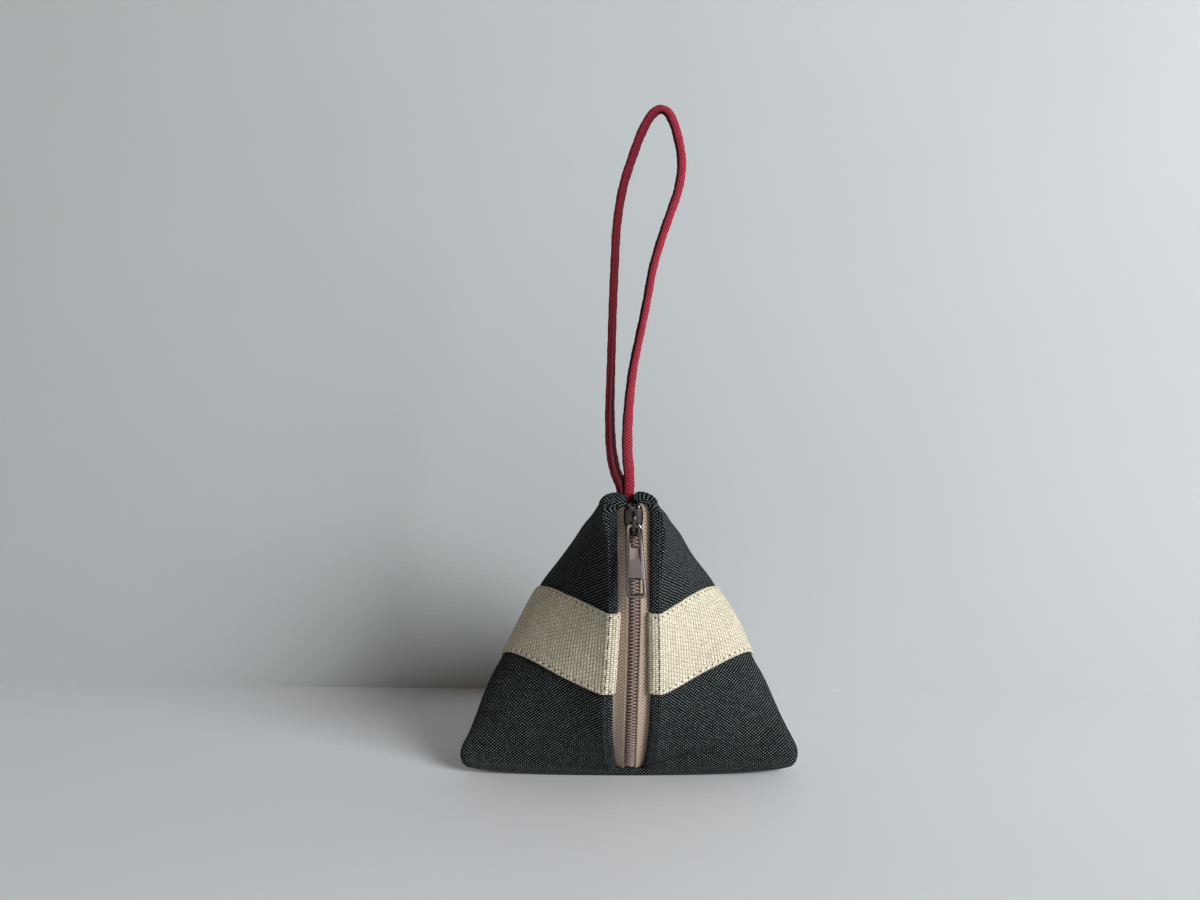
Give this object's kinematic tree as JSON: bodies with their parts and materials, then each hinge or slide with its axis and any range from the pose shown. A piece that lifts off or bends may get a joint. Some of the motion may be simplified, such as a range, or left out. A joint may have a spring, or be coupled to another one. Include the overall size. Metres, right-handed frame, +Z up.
{
  "type": "wrist bag",
  "caption": "Soft four-cornered cloth pouch with a front zip, a contrasting band round its middle and a thin sewn wrist loop at its apex.",
  "frame": {"origin": "middle of the flat patch of the base that the bag stands on", "axes": "+X across the bag to the right of the zip, +Y from the zip to the rear corner, +Z up"},
  "size_m": [0.125, 0.1244, 0.2369],
  "materials": {
    "dark_linen": "coarse plain weave, matte",
    "cream_linen": "coarse plain weave, matte",
    "interlining": "soft felted pad",
    "lining": "fine plain weave",
    "zip_tape": "herringbone tape",
    "zip_coil": "satin nylon",
    "dark_thread": "sewing thread",
    "gunmetal": "dark bright plating",
    "strap": "folded and top-stitched cloth strap"
  },
  "bodies": {
    "bag": {"lower_panel": "dark_linen", "band_panel": "cream_linen", "upper_panel": "dark_linen", "interlining": "interlining", "lining": "lining", "bottom_seam": "dark_linen", "back_seam": "dark_linen", "zip_tape_left": "zip_tape", "zip_tape_right": "zip_tape", "zip_coil_left": "zip_coil", "zip_coil_right": "zip_coil", "zip_stitch_left": "dark_thread", "zip_stitch_right": "dark_thread", "loop_root": "strap"},
    "slider": {"slider_body": "gunmetal", "slider_bridge": "gunmetal"},
    "pull_tab": {"pull_tab": "gunmetal"},
    "loop": {"wrist_loop": "strap"}
  },
  "joints": [
    {"name": "slider_slide", "type": "slide", "parent": "bag", "child": "slider", "axis": [0, 0.1736, -0.9848], "range_m": [0, 0.06]},
    {"name": "pull_tab_swing", "type": "hinge", "parent": "slider", "child": "pull_tab", "pos_m": [0, -0.05528, 0.09382], "axis": [-1, 0, 0], "range_deg": [-8, 155]},
    {"name": "loop_swing", "type": "hinge", "parent": "bag", "child": "loop", "pos_m": [-0.002, -0.04837, 0.1057], "axis": [1, 0, 0], "range_deg": [-75, 45]}
  ]
}
